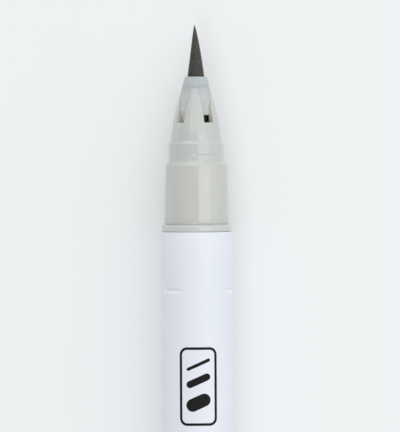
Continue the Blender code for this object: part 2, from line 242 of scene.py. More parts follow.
def rear_edge(rear, radius, size, steps):
    """Points that round the edge between a solid's side and its flat rear end."""
    angles = [math.radians(90 * i / steps) for i in reversed(range(steps + 1))]
    middle, inner = rear - size, radius - size
    return [(middle + size * math.cos(a), inner + size * math.sin(a)) for a in angles]


# Materials

ZONE_HEADROOM = 1.2  # zone tints are divided by it to fit a ramp, so their base is lighter
NOISE_ROUGHNESS = 0.55
FLOOR_COLOUR = (0.632, 0.643, 0.649)
FLOOR_GLOW = 0.33
FERRULE_COLOUR = (0.564, 0.606, 0.618)
FERRULE_ZONES = [  # station, then tint
    (9.8 * MM, (0.955, 0.955, 0.96)),
    (10.6 * MM, (1.01, 1.00, 0.975)),
    (11.4 * MM, (1.10, 1.07, 1.03)),
]
GRIP_COLOUR = (0.622, 0.640, 0.606)
GRIP_ZONES = [  # station, then tint: darker and bluer towards the nose's front, painted shade before the flange, painted light on the flange
    (9.8 * MM, (0.86, 0.92, 0.98)),
    (10.4 * MM, (0.89, 0.94, 0.99)),
    (11.2 * MM, (0.95, 0.98, 1.01)),
    (12.0 * MM, (0.98, 1.00, 1.01)),
    (20.5 * MM, (0.98, 1.00, 1.01)),
    (22.5 * MM, (0.99, 0.99, 0.98)),
    (29.8 * MM, (0.99, 0.99, 0.98)),
    # painted shade in the crease in front of the flange
    (30.9 * MM, (0.92, 0.92, 0.90)),
    # painted light: the flange lighter and bluer, as if lit by the white barrel behind it
    (31.2 * MM, (1.03, 1.06, 1.08)),
]
# painted shade: the windows' side walls are a darker, browner copy of the grip plastic, as they
# look in shade
WALL_SHADE_COLOUR = (0.50, 0.485, 0.43)
BARREL_COLOUR = (0.742, 0.775, 0.838)
# painted highlight: paler colour for the dents' rear slopes, where the light glints
DENT_HIGHLIGHT_COLOUR = (0.83, 0.855, 0.885)
CAP_COLOUR = (0.045, 0.043, 0.039)
NATURAL_COLOUR = (0.76, 0.77, 0.74)
FUSED_COLOUR = (0.050, 0.043, 0.030)
WICK_COLOUR = (0.02, 0.019, 0.017)
WADDING_COLOUR = (0.05, 0.047, 0.042)
FILM_COLOUR = (0.85, 0.87, 0.88)
BRISTLE_STREAKS = [  # place on the ramp, then colour: damp, usual and dry
    (0.30, (0.018, 0.017, 0.014)),
    (0.55, (0.044, 0.042, 0.036)),
    (0.75, (0.080, 0.077, 0.068)),
]
# painted sheen: the tuft's base colour grows lighter towards +X, the lit side
BRISTLE_SHADED_SIDE = (-0.7 * MM, (0.93, 0.93, 0.93))  # x, then tint there and beyond
BRISTLE_SHEEN_SIDE = (0.2 * MM, (1.62, 1.62, 1.64))


class Nodes:
    """A node material under construction."""

    def __init__(self, name):
        self.material = bpy.data.materials.new(name)
        self.material.use_nodes = True
        self.tree = self.material.node_tree
        self.shader = self.tree.nodes["Principled BSDF"]
        self.position = self.add("ShaderNodeTexCoord").outputs["Object"]

    def add(self, kind, **settings):
        node = self.tree.nodes.new(kind)
        for key, value in settings.items():
            setattr(node, key, value)
        return node

    def link(self, output, entry):
        self.tree.links.new(output, entry)

    def noise(self, size, detail=3.0):
        """Noise whose grain has this (x, y, z) size in metres."""
        mapping = self.add("ShaderNodeMapping")
        mapping.inputs["Scale"].default_value = [1 / length for length in size]
        self.link(self.position, mapping.inputs["Vector"])
        noise = self.add("ShaderNodeTexNoise")
        noise.inputs["Scale"].default_value = 1.0
        noise.inputs["Detail"].default_value = detail
        noise.inputs["Roughness"].default_value = NOISE_ROUGHNESS
        self.link(mapping.outputs["Vector"], noise.inputs["Vector"])
        return noise.outputs["Fac"]

    def ramp(self, factor, stops):
        """A colour ramp of (position, colour) stops."""
        node = self.add("ShaderNodeValToRGB")
        elements = node.color_ramp.elements
        while len(elements) < len(stops):
            elements.new(0.5)
        for element, (position, colour) in zip(elements, stops):
            element.position = position
            element.color = (*colour, 1.0)
        self.link(factor, node.inputs["Fac"])
        return node.outputs["Color"]

    def spread(self, factor, low, high):
        """The factor's middle range stretched over low to high."""
        return self.map_range(factor, 0.3, 0.7, low, high)

    def share_along(self, axis, first, last):
        """0 to 1 between two places on an axis."""
        split = self.add("ShaderNodeSeparateXYZ")
        self.link(self.position, split.inputs["Vector"])
        return self.map_range(split.outputs[axis], first, last, 0.0, 1.0)

    def map_range(self, value, first, last, low, high):
        """A value from first to last turned into one from low to high."""
        node = self.add("ShaderNodeMapRange")
        keys = ("From Min", "From Max", "To Min", "To Max")
        for key, number in zip(keys, (first, last, low, high)):
            node.inputs[key].default_value = number
        self.link(value, node.inputs["Value"])
        return node.outputs["Result"]

    def base(self, factor, stops):
        """Sets the base colour from a ramp."""
        self.link(self.ramp(factor, stops), self.shader.inputs["Base Color"])

    def multiply_base(self, colour):
        """Multiplies the base colour by a colour output."""
        product = self.add("ShaderNodeVectorMath", operation="MULTIPLY")
        base = self.shader.inputs["Base Color"]
        self.link(base.links[0].from_socket, product.inputs[0])
        self.link(colour, product.inputs[1])
        self.link(product.outputs["Vector"], base)

    def tint_along(self, zones):
        """Multiplies the base colour by one that changes along the marker."""
        first, last = zones[0][0], zones[-1][0]
        share = self.share_along("Y", TIP_Y - first, TIP_Y - last)
        stops = [
            ((station - first) / (last - first), tint(colour, 1 / ZONE_HEADROOM))
            for station, colour in zones
        ]
        self.multiply_base(self.ramp(share, stops))

    def tint_across(self, left, right):
        """Multiplies the base colour by one that changes across the marker, from left to right."""
        (first, start), (last, finish) = left, right
        mix = self.add("ShaderNodeMix", data_type="VECTOR")
        self.link(self.share_along("X", first, last), mix.inputs["Factor"])
        mix.inputs[4].default_value = start
        mix.inputs[5].default_value = finish
        self.multiply_base(mix.outputs[1])

    def bump(self, height, depth):
        """Relief of this depth in metres."""
        node = self.add("ShaderNodeBump")
        node.inputs["Strength"].default_value = 1.0
        node.inputs["Distance"].default_value = depth
        self.link(height, node.inputs["Height"])
        self.link(node.outputs["Normal"], self.shader.inputs["Normal"])


def tint(colour, share):
    """A colour made lighter or darker."""
    return [min(1.0, channel * share) for channel in colour]


def around_colour(colour, low, high):
    """Ramp stops from a darker to a lighter form of a colour."""
    return [(0.3, tint(colour, low)), (0.7, tint(colour, high))]


def moulded(
    name, colour, roughness, specular=0.5, variation=0.03, gloss=0.09, relief=0.0003 * MM
):
    """Injection-moulded plastic: cloudy flow marks, a fine skin texture and uneven gloss."""
    made = Nodes(name)
    flow = made.noise((2.5 * MM, 9 * MM, 2.5 * MM), detail=4.0)
    made.base(flow, around_colour(colour, 1 - variation, 1 + variation))
    sheen = made.noise((1.5 * MM, 4 * MM, 1.5 * MM), detail=4.0)
    low, high = roughness * (1 - gloss), roughness * (1 + gloss)
    made.link(made.spread(sheen, low, high), made.shader.inputs["Roughness"])
    made.shader.inputs["Specular IOR Level"].default_value = specular
    made.bump(made.noise((0.25 * MM,) * 3, detail=2.0), relief)
    return made


def bristle_material():
    """Dark nylon filaments, wet with ink in streaks, with a painted sheen: lighter on the side
    towards +X, where the light falls.
    """
    made = Nodes("bristle_filament")
    made.base(made.noise((0.09 * MM, 5 * MM, 0.09 * MM)), BRISTLE_STREAKS)
    # painted sheen towards +X
    made.tint_across(BRISTLE_SHADED_SIDE, BRISTLE_SHEEN_SIDE)
    wet = made.noise((0.2 * MM, 2 * MM, 0.2 * MM))
    made.link(made.spread(wet, 0.18, 0.36), made.shader.inputs["Roughness"])
    return made.material


def frosted_material():
    """Translucent bluish plastic."""
    made = moulded("ferrule_frosted", FERRULE_COLOUR, 0.30)
    made.tint_along(FERRULE_ZONES)
    made.shader.inputs["Subsurface Weight"].default_value = 0.35
    made.shader.inputs["Subsurface Radius"].default_value = (0.9 * MM, 1.1 * MM, 1.3 * MM)
    made.shader.inputs["Subsurface Scale"].default_value = 1.0
    return made.material


def grip_material():
    """Glossy warm grey plastic, with painted shade before the flange and painted light on it."""
    made = moulded("grip_plastic", GRIP_COLOUR, 0.16, specular=1.0)
    made.tint_along(GRIP_ZONES)
    return made.material


def barrel_material(name, colour):
    """Smooth, evenly coloured plastic with a soft gloss."""
    made = moulded(
        name, colour, 0.27, specular=0.4, variation=0.004, gloss=0.015, relief=0.0001 * MM
    )
    return made.material


def cap_material():
    """Charcoal plastic in the ink's colour."""
    return moulded("cap_plastic", CAP_COLOUR, 0.24, gloss=0.02, relief=0.0001 * MM).material


def ink_material():
    """Matt black pad-printing ink with a slightly uneven coat."""
    made = Nodes("printed_ink")
    coat = made.noise((0.25 * MM,) * 3, detail=4.0)
    made.base(coat, [(0.35, (0.004, 0.004, 0.004)), (0.65, (0.009, 0.009, 0.010))])
    made.link(made.spread(coat, 0.35, 0.5), made.shader.inputs["Roughness"])
    made.shader.inputs["Specular IOR Level"].default_value = 0.15
    return made.material


def fibre_material(name, colour, length, depth):
    """Bonded fibres that run along the axis, soaked with ink."""
    made = Nodes(name)
    strand = made.noise((0.05 * MM, length, 0.05 * MM), detail=4.0)
    made.base(strand, around_colour(colour, 0.5, 1.6))
    made.shader.inputs["Roughness"].default_value = 0.85
    made.bump(strand, depth)
    return made.material


def film_material():
    """Thin clear film with faint wrinkles."""
    made = moulded("clear_film", FILM_COLOUR, 0.2, relief=0.01 * MM)
    made.shader.inputs["Transmission Weight"].default_value = 0.6
    return made.material


def floor_material():
    """A smooth pale sheet over a softly lit table, which keeps the shadows faint."""
    made = Nodes("pale_sheet")
    made.base(made.noise((40 * MM,) * 3), around_colour(FLOOR_COLOUR, 0.994, 1.006))
    made.shader.inputs["Emission Color"].default_value = (*FLOOR_COLOUR, 1.0)
    made.shader.inputs["Emission Strength"].default_value = FLOOR_GLOW
    made.shader.inputs["Roughness"].default_value = 0.9
    made.shader.inputs["Specular IOR Level"].default_value = 0.1
    made.bump(made.noise((0.3 * MM,) * 3), 0.002 * MM)
    return made.material


# Brush

SEED = 7
STRANDS = 260
STRAND_RADIUS = 0.055 * MM
STRAND_HEIGHT = 0.45  # a strand is flat: its half height and half width as shares
STRAND_SPREAD = 1.35  # of its radius
STRAND_DEPTHS = (0.90, 1.0)  # where strands lie, as shares of the tuft's radius
STRAND_REACH = 0.45  # the shortest strand ends this share of the tuft behind the point
STRAND_SIDES = 5
STRAND_STEPS = 16
CORE_SHARE = 0.92  # of the tuft's radius
CORE_RECESS = 0.04 * MM
CORE_STEPS = 24
CORE_SIDES = 24
BRUSH_START = FERRULE_MOUTH + 0.9 * MM  # where the strands start, inside the ferrule
BRUSH_TAPER = 0.8  # radius grows as this power of the distance from the point
POINT_BLUNT = 0.12 * MM
POINT_LEAN = 0.17 * MM
LEAN_START = 5.5 * MM


def brush_radius(station):
    """Radius of the tuft at a station."""
    share = (station + POINT_BLUNT) / (FERRULE_MOUTH + POINT_BLUNT)
    return BRUSH_RADIUS * min(1.0, share) ** BRUSH_TAPER


def brush_lean(station):
    """How far the tuft's point has strayed sideways."""
    return -POINT_LEAN * max(0.0, 1 - station / LEAN_START) ** 1.5


def add_strand(bm, angle, depth, reach, draw):
    """One tapered filament, from inside the ferrule to a station near the point."""
    sway = draw.uniform(0.03, 0.10)
    phase = draw.uniform(0, 2 * math.pi)
    rings = []
    for i in range(STRAND_STEPS + 1):
        share = i / STRAND_STEPS
        station = BRUSH_START + (reach - BRUSH_START) * share
        taper = min(1.0, brush_radius(station) / (0.25 * BRUSH_RADIUS) + 0.35)
        width = STRAND_RADIUS * (1 - 0.6 * share**2) * taper
        radius = max(0.0, brush_radius(station) * depth - STRAND_HEIGHT * width)
        turn = angle + sway * math.sin(phase + 5 * share) * share
        centre = place(station, radius, turn) + Vector((brush_lean(station), 0, 0))
        outward = Vector((math.cos(turn), 0, math.sin(turn)))
        sideways = Vector((-math.sin(turn), 0, math.cos(turn)))
        ring = []
        for k in range(STRAND_SIDES):
            around = 2 * math.pi * k / STRAND_SIDES
            out = STRAND_HEIGHT * width * math.cos(around)
            aside = STRAND_SPREAD * width * math.sin(around)
            ring.append(bm.verts.new(centre + outward * out + sideways * aside))
        rings.append(ring)
    join_rings(bm, rings)
    bm.faces.new(rings[0])
    bm.faces.new(rings[-1])


def make_brush(material):
    """The tuft: filaments laid over a dark core."""
    draw = random.Random(SEED)
    bm = bmesh.new()
    golden = math.pi * (3 - math.sqrt(5))
    for i in range(STRANDS):
        depth = draw.uniform(*STRAND_DEPTHS)
        reach = FERRULE_MOUTH * draw.random() ** 2.2 * STRAND_REACH
        add_strand(bm, golden * i, depth, reach, draw)
    tuft = object_from("bristle_tuft", bm, material)
    core = bmesh.new()
    rings = []
    for i in range(CORE_STEPS + 1):
        station = BRUSH_START * (1 - i / CORE_STEPS) + CORE_RECESS
        ring = add_ring(core, station, brush_radius(station) * CORE_SHARE, CORE_SIDES)
        for vertex in ring:
            vertex.co.x += brush_lean(station)
        rings.append(ring)
    join_rings(core, rings)
    core.faces.new(rings[0])
    core.faces.new(rings[-1])
    heart = object_from("bristle_core", core, material)
    for piece in (tuft, heart):
        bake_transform(piece)
    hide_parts("bristle_tip")


# Nose: section and ferrule

PETAL_COLUMNS = (12, 8, 16)  # round a narrow petal, a window and a wide petal
WINDOW_STEPS = 12
NOSE_STEPS = 6  # behind the windows
NOSE_BORE = [(9.0, 2.04), (11.2, 2.04), (13.9, 2.52), (15.6, 2.60)]  # station and radius in mm


def nose_radius(station):
    """Outer radius of the ogive nose."""
    share = (station - NOSE_FRONT) / (NOSE_END - NOSE_FRONT)
    return NOSE_END_RADIUS - (NOSE_END_RADIUS - NOSE_FRONT_RADIUS) * (1 - share) ** NOSE_POWER


def window_angles(station):
    """Angles of a window's two sides from the narrow petal's middle."""
    station = min(station, WINDOW_REAR)
    for (front, *here), (rear, *there) in zip(WINDOW_EDGES, WINDOW_EDGES[1:]):
        if station <= rear:
            break
    share = (station - front) / (rear - front)
    return [a + (b - a) * share for a, b in zip(here, there)]


def inside_window(station, base, side, margin):
    """Angles of the two sides of a block that leaves this margin in a window."""
    near, far = window_angles(station)
    return base + side * (near + margin), base + side * (far - margin)


def bore_radius(station):
    """Radius of the section's bore inside the nose."""
    for (front, low), (rear, high) in zip(NOSE_BORE, NOSE_BORE[1:]):
        if station <= rear * MM:
            break
    return (low + (high - low) * (station / MM - front) / (rear - front)) * MM


def petal_columns(station):
    """Column angles round the nose, with a column on each window side."""
    near, far = window_angles(station)
    narrow, window, wide = PETAL_COLUMNS
    stretches = [
        (-near, near, narrow),
        (near, far, window),
        (far, math.pi - far, wide),
        (math.pi - far, math.pi - near, window),
    ]
    angles = []
    for turn in (0, math.pi):
        for first, last, count in stretches:
            base, step = PETAL_ANGLE + turn + first, last - first
            angles += [base + step * i / count for i in range(count)]
    return angles


def window_column(index):
    """Whether the strip of faces after this column lies in a window."""
    narrow, window, wide = PETAL_COLUMNS
    index %= narrow + 2 * window + wide
    return narrow <= index < narrow + window or index >= narrow + window + wide


def make_section(material, wall_shade_material):
    """The grey grip section, parted into petals at its nose, with painted shade on the windows'
    side walls.
    """
    tips = RING_END + 0.01 * MM
    stations = [tips + (WINDOW_REAR - tips) * i / WINDOW_STEPS for i in range(WINDOW_STEPS + 1)]
    length = NOSE_END - WINDOW_REAR
    behind = [WINDOW_REAR + length * i / NOSE_STEPS for i in range(1, NOSE_STEPS + 1)]
    outside = [
        *[(station, nose_radius(station)) for station in behind],
        (18.08 * MM, 3.935 * MM),
        (18.16 * MM, 3.97 * MM),
        (18.50 * MM, 4.25 * MM),
        (18.58 * MM, COLLAR_RADIUS),
        (18.70 * MM, COLLAR_RADIUS),
        (20.08 * MM, COLLAR_RADIUS),
        (20.16 * MM, COLLAR_RADIUS),
        (20.21 * MM, GROOVE_RADIUS),
        (20.36 * MM, GROOVE_RADIUS),
        (20.52 * MM, COLLAR_RADIUS),
        (20.60 * MM, COLLAR_RADIUS),
        (21.16 * MM, COLLAR_RADIUS),
        (21.26 * MM, 4.30 * MM),
        (21.34 * MM, 4.36 * MM),
        (21.70 * MM, 4.69 * MM),
        (21.80 * MM, 4.77 * MM),
        (21.92 * MM, 4.80 * MM),
        (22.10 * MM, 4.805 * MM),
        (30.60 * MM, 5.03 * MM),
        (30.96 * MM, 5.03 * MM),
        (31.04 * MM, NECK_RADIUS),
        (31.12 * MM, NECK_RADIUS),
        (31.16 * MM, FLANGE_RADIUS - 0.22 * MM),
        (31.24 * MM, FLANGE_RADIUS - 0.10 * MM),
        (31.40 * MM, FLANGE_RADIUS),
        (FLANGE_REAR - 0.24 * MM, FLANGE_RADIUS),
        (FLANGE_REAR - 0.16 * MM, FLANGE_RADIUS - 0.01 * MM),
        (FLANGE_REAR - 0.08 * MM, FLANGE_RADIUS - 0.08 * MM),
        (FLANGE_REAR - 0.08 * MM, SPIGOT_RADIUS),
        (SECTION_END, SPIGOT_RADIUS),
    ]
    inside = [
        (SECTION_END, 3.70 * MM),
        (20.6 * MM, 3.70 * MM),
        (19.8 * MM, 3.30 * MM),
        (17.6 * MM, 3.30 * MM),
        (15.6 * MM, 2.60 * MM),
    ]
    bm = bmesh.new()

    def ring(station, radius):
        return [bm.verts.new(place(station, radius, angle)) for angle in petal_columns(station)]

    outer_rings = [ring(station, nose_radius(station)) for station in stations]
    inner_rings = [ring(station, bore_radius(station)) for station in stations]
    rest = [ring(*point) for point in outside + inside]
    join_rings(bm, [outer_rings[-1], *rest, inner_rings[-1]])
    count = len(outer_rings[0])
    for i in range(count):
        j = (i + 1) % count
        if window_column(i):
            high, low = outer_rings[-1], inner_rings[-1]
            bm.faces.new((high[i], high[j], low[j], low[i]))
            continue
        for rings in (outer_rings, inner_rings):
            for before, after in zip(rings, rings[1:]):
                bm.faces.new((before[i], before[j], after[j], after[i]))
        high, low = outer_rings[0], inner_rings[0]
        bm.faces.new((high[i], high[j], low[j], low[i]))
        for side, neighbour in ((i, i - 1), (j, j)):
            if window_column(neighbour):
                for k in range(WINDOW_STEPS):
                    front, rear = outer_rings[k][side], outer_rings[k + 1][side]
                    low_front, low_rear = inner_rings[k][side], inner_rings[k + 1][side]
                    wall = bm.faces.new((front, rear, low_rear, low_front))
                    # the windows' side walls get the painted-shade material
                    wall.material_index = 1
    section = object_from("grip_section_shell", bm, material)
    section.data.materials.append(wall_shade_material)
    soften(section, 0.035 * MM, math.radians(28))
    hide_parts("grip_section")
    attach(section, "pen")


LAND_ROWS = 16
LAND_STEPS = 12
WALL_OVERLAP = 0.25 * MM  # how far the lands run into the ferrule's tube
TAB_BORE = 2.08 * MM
TAB_MARGIN = LAND_MARGIN + math.radians(0.5)
TAB_ROWS = [  # station and outer radius
    (12.5 * MM, LAND_RADIUS - 0.1 * MM),
    (13.0 * MM, TAB_RADIUS - 0.05 * MM),
    (13.2 * MM, TAB_RADIUS),
    (13.5 * MM, TAB_RADIUS - 0.10 * MM),
    (WINDOW_REAR - 0.03 * MM, TAB_RADIUS - 0.32 * MM),
]


def make_ferrule(material):
    """The brush holder: a ring and a tube, with lands keyed into the windows and two tabs."""
    bore = 1.42 * MM
    outline = [
        (FERRULE_MOUTH + 0.10 * MM, bore),
        (FERRULE_MOUTH + 0.02 * MM, bore + 0.08 * MM),
        (FERRULE_MOUTH, bore + 0.13 * MM),
        (FERRULE_MOUTH, 1.66 * MM),
        (FERRULE_MOUTH + 0.03 * MM, 1.73 * MM),
        (FERRULE_MOUTH + 0.10 * MM, 1.78 * MM),
        (RING_END, NOSE_FRONT_RADIUS - 0.02 * MM),
        (RING_END, FERRULE_TUBE_RADIUS),
        (FERRULE_END - 0.08 * MM, FERRULE_TUBE_RADIUS),
        (FERRULE_END, FERRULE_TUBE_RADIUS - 0.08 * MM),
        (FERRULE_END, bore),
    ]
    ferrule = turned("ferrule_holder", outline, material, columns=96)
    over_tube = FERRULE_TUBE_RADIUS - WALL_OVERLAP
    land_front = RING_END - 0.1 * MM
    length = LAND_END - land_front
    for i, (turn, side) in enumerate([(t, s) for t in (0, math.pi) for s in (-1, 1)]):
        base = PETAL_ANGLE + turn
        rows = []
        for k in range(LAND_ROWS + 1):
            station = land_front + length * k / LAND_ROWS
            inner = over_tube if station < FERRULE_END - 0.2 * MM else TAB_BORE
            outer = min(nose_radius(max(station, NOSE_FRONT)) - 0.02 * MM, LAND_RADIUS)
            rows.append((station, inner, outer, *inside_window(station, base, side, LAND_MARGIN)))
        combine(ferrule, sector(f"land_{i}", rows, steps=LAND_STEPS), "UNION")
        if side > 0:
            rows = [
                (station, TAB_BORE, outer, *inside_window(station, base, side, TAB_MARGIN))
                for station, outer in TAB_ROWS
            ]
            combine(ferrule, sector(f"tab_{i}", rows), "UNION")
    soften(ferrule, 0.03 * MM, math.radians(40))
    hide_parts("ferrule")
    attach(ferrule, "pen")


# Barrel and its mark

CRIMP_STATION = 41.24 * MM  # where the dents are deepest
CRIMP_FRONT = 0.24 * MM
CRIMP_REAR = 0.62 * MM
CRIMP_DEPTH = 0.34 * MM
CRIMP_WIDTH = math.radians(50)
CRIMPS = [  # angle, then share of the depth
    (math.radians(135), 1.0),
    (math.radians(15), 0.55),
    (math.radians(255), 1.0),
]
DENT_HIGHLIGHT_DEPTH = 0.07 * MM  # dented further than this, a dent's rear slope is painted paler as a painted highlight
DENT_ROWS = 28
BARREL_COLUMNS = 240
BARREL_BORE = 4.75 * MM
MOUTH_BORE = 4.80 * MM
MOUTH_FRONT = BARREL_MOUTH - 0.14 * MM
TAIL_BORE = 4.20 * MM
TAIL_STEP = CAP_RIM - 0.3 * MM
STUB_RADIUS = 5.02 * MM  # of the tail inside the posted cap


def crimp_depth(station, angle):
    """Depth of the dents in the barrel at a place."""
    off, share = min(
        (abs(math.remainder(angle - centre, 2 * math.pi)), share) for centre, share in CRIMPS
    )
    past = station - CRIMP_STATION
    along = abs(past) / (CRIMP_REAR if past > 0 else CRIMP_FRONT)
    across = off / (CRIMP_WIDTH / 2)
    reach = math.hypot(along, across**1.6)
    return CRIMP_DEPTH * share * max(0.0, 1 - reach**2) ** 1.5


def make_barrel(material, dent_highlight):
    """The white tube with its dents, its mouth's lip and its narrower tail."""
    before = [
        (BARREL_MOUTH + 0.6 * MM, MOUTH_BORE),
        (BARREL_MOUTH + 0.12 * MM, MOUTH_BORE),
        (MOUTH_FRONT, 4.92 * MM),
        (MOUTH_FRONT, 5.50 * MM),
        (BARREL_MOUTH - 0.12 * MM, 5.54 * MM),
        (BARREL_MOUTH - 0.07 * MM, 5.56 * MM),
        (BARREL_MOUTH + 0.85 * MM, 5.57 * MM),
        (BARREL_MOUTH + 1.00 * MM, BARREL_RADIUS),
        (BARREL_MOUTH + 4.00 * MM, BARREL_RADIUS),
    ]
    dent_front = CRIMP_STATION - CRIMP_FRONT
    dent_length = CRIMP_FRONT + CRIMP_REAR
    shares = [1.04 * i / DENT_ROWS - 0.02 for i in range(DENT_ROWS + 1)]  # a little past it
    dented = [(dent_front + dent_length * share, BARREL_RADIUS) for share in shares]
    after = [
        (60 * MM, BARREL_RADIUS),
        (90 * MM, BARREL_RADIUS),
        (TAIL_STEP - 0.7 * MM, BARREL_RADIUS),
        (TAIL_STEP - 0.35 * MM, BARREL_RADIUS - 0.05 * MM),
        (TAIL_STEP - 0.08 * MM, BARREL_RADIUS - 0.20 * MM),
        (TAIL_STEP, BARREL_RADIUS - 0.34 * MM),
        (TAIL_STEP, STUB_RADIUS),
        (BARREL_END - 0.1 * MM, STUB_RADIUS),
        (BARREL_END, STUB_RADIUS - 0.1 * MM),
        (BARREL_END, TAIL_BORE),
        (122 * MM, TAIL_BORE),
        (120 * MM, BARREL_BORE),
        (46 * MM, BARREL_BORE),
    ]
    bm = bmesh.new()
    rings = []
    for station, radius in before + dented + after:
        ring = add_ring(bm, station, radius, BARREL_COLUMNS)
        if (station, radius) in dented:
            for i, vertex in enumerate(ring):
                angle = 2 * math.pi * i / BARREL_COLUMNS
                vertex.co = place(station, radius - crimp_depth(station, angle), angle)
        rings.append(ring)
    join_rings(bm, rings + [rings[0]])
    # painted highlight: faces on a dent's rear slope get the paler material
    for face in bm.faces:
        middle = face.calc_center_median()
        depth = BARREL_RADIUS - math.hypot(middle.x, middle.z - AXIS_Z)
        station = TIP_Y - middle.y
        if 0 < station - CRIMP_STATION < CRIMP_REAR and DENT_HIGHLIGHT_DEPTH < depth < CRIMP_DEPTH:
            face.material_index = 1
    barrel = object_from("barrel_tube", bm, material)
    barrel.data.materials.append(dent_highlight)
    barrel.data.set_sharp_from_angle(angle=math.radians(40))
    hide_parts("barrel")
    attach(barrel, "pen")


MARK_STATION = 56.2 * MM  # the middle of the printed mark
MARK_ANGLE = math.radians(88.5)
MARK_HALF_WIDTH = 3.0 * MM
MARK_HALF_LENGTH = 6.1 * MM
MARK_CORNER = 1.2 * MM
MARK_LINE = 0.40 * MM
MARK_LIFT = 0.004 * MM
MARK_THICKNESS = 0.012 * MM
STROKES = [  # place along the mark, then width
    (-3.4 * MM, 0.5 * MM),
    (-0.9 * MM, 1.1 * MM),
    (2.5 * MM, 2.0 * MM),
]
STROKE_HALF_LENGTH = 2.0 * MM
STROKE_SLOPE = math.radians(24)


def on_barrel(across, along, lift):
    """A point of the printed mark, across and along the barrel from the mark's middle."""
    return place(MARK_STATION + along, BARREL_RADIUS + lift, MARK_ANGLE - across / BARREL_RADIUS)


def rounded_frame(half_width, half_length, corner, steps=8):
    """Outline of a rectangle with round corners, with points along its straight sides too."""
    points = []
    for quarter, (x_sign, y_sign) in enumerate([(1, 1), (-1, 1), (-1, -1), (1, -1)]):
        centre_x = x_sign * (half_width - corner)
        centre_y = y_sign * (half_length - corner)
        for i in range(steps + 1):
            angle = math.pi / 2 * (quarter + i / steps)
            x, y = corner * math.cos(angle), corner * math.sin(angle)
            points.append((centre_x + x, centre_y + y))
    outline = []
    for (x, y), (next_x, next_y) in zip(points, points[1:] + points[:1]):
        run, rise = next_x - x, next_y - y
        outline += [(x + run * i / steps, y + rise * i / steps) for i in range(steps)]
    return outline


def add_frame(bm, outer, inner):
    """A printed line between two outlines of equally many points."""
    rings = []
    for across, along in zip(outer, inner):
        top = [on_barrel(x, y, MARK_LIFT + MARK_THICKNESS) for x, y in (across, along)]
        low = [on_barrel(x, y, MARK_LIFT) for x, y in (along, across)]
        rings.append([bm.verts.new(point) for point in top + low])
    join_rings(bm, rings + [rings[0]])


def add_stroke(bm, middle, width, steps=24, parts=6):
    """A slanting printed stroke with round ends."""
    run, rise = math.cos(STROKE_SLOPE), -math.sin(STROKE_SLOPE)
    rings = []
    for i in range(steps + 1):
        reach = -STROKE_HALF_LENGTH * math.cos(math.pi * i / steps)
        past = max(0.0, abs(reach) - (STROKE_HALF_LENGTH - width / 2))
        half = max(math.sqrt(max(0.0, width**2 / 4 - past**2)), 0.01 * MM)
        sides = [half * (2 * k / parts - 1) for k in range(parts + 1)]
        line = [(reach * run - side * rise, middle + reach * rise + side * run) for side in sides]
        top = [bm.verts.new(on_barrel(x, y, MARK_LIFT + MARK_THICKNESS)) for x, y in line]
        low = [bm.verts.new(on_barrel(x, y, MARK_LIFT)) for x, y in reversed(line)]
        rings.append(top + low)
    join_rings(bm, rings)
    bm.faces.new(rings[0])
    bm.faces.new(rings[-1])


def make_mark(material):
    """A plain printed sign: a frame with three strokes of growing width."""
    bm = bmesh.new()
    sizes = (MARK_HALF_WIDTH, MARK_HALF_LENGTH, MARK_CORNER)
    outer = rounded_frame(*sizes)
    inner = rounded_frame(*[size - MARK_LINE for size in sizes])
    add_frame(bm, outer, inner)
    for middle, width in STROKES:
        add_stroke(bm, middle, width)
    mark = object_from("printed_mark", bm, material)
    mark.data.set_sharp_from_angle(angle=math.radians(30))
    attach(mark, "pen")


# Tail and cap


def make_tail_plug(material):
    """The plug's rounded head and hollow body."""
    head_front = BARREL_END + 0.1 * MM
    head_radius = radius_of("tail_plug")
    body_front = front_of("tail_plug")
    body_radius = 4.12 * MM
    hollow_radius = 3.3 * MM
    hollow_rear = PEN_END - 1.2 * MM
    outline = [
        (hollow_rear, 0),
        (hollow_rear, hollow_radius),
        (body_front, hollow_radius),
        (body_front, 3.9 * MM),
        (body_front + 0.4 * MM, body_radius),
        (head_front, body_radius),
        (head_front, head_radius - 0.08 * MM),
        (head_front + 0.08 * MM, head_radius),
        *rear_edge(PEN_END, head_radius, 0.6 * MM, steps=6),
        (PEN_END, 0),
    ]
    plug = turned("tail_plug_shell", outline, material)
    plug.data.set_sharp_from_angle(angle=math.radians(40))
    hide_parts("tail_plug")
    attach(plug, "pen")


CAP_RIM_RADIUS = 5.95 * MM
CAP_END_RADIUS = 5.55 * MM
CAP_BORE = 5.15 * MM
CAP_DEEP_BORE = 5.00 * MM
CAP_LIP = 0.2 * MM
CAP_EDGE = 0.7 * MM  # rounding of the closed end
CAP_FLOOR = CAP_LENGTH - 1.2 * MM
STOP_FRONT = 2.0 * MM  # depths of the roll stop behind the cap's rim
STOP_REAR = 5.4 * MM
STOP_SLOPE = 0.3 * MM
STOP_STEP = 0.001 * MM  # between the rings at the foot and at the edge of its steep ends
STOP_SHOULDER = 0.15 * MM
VENT_RADII = (3.3 * MM, 4.1 * MM)
VENT_HALF_ANGLE = math.radians(29)


def stop_radius(depth, angle):
    """Radius of the hexagonal roll stop, whose corners are at multiples of 60 degrees."""
    past = max(0.0, STOP_FRONT + STOP_SLOPE - depth, depth - (STOP_REAR - STOP_SLOPE))
    apothem = STOP_APOTHEM - past * math.cos(math.pi / 6)
    return apothem / math.cos(math.remainder(angle - math.pi / 6, math.pi / 3))


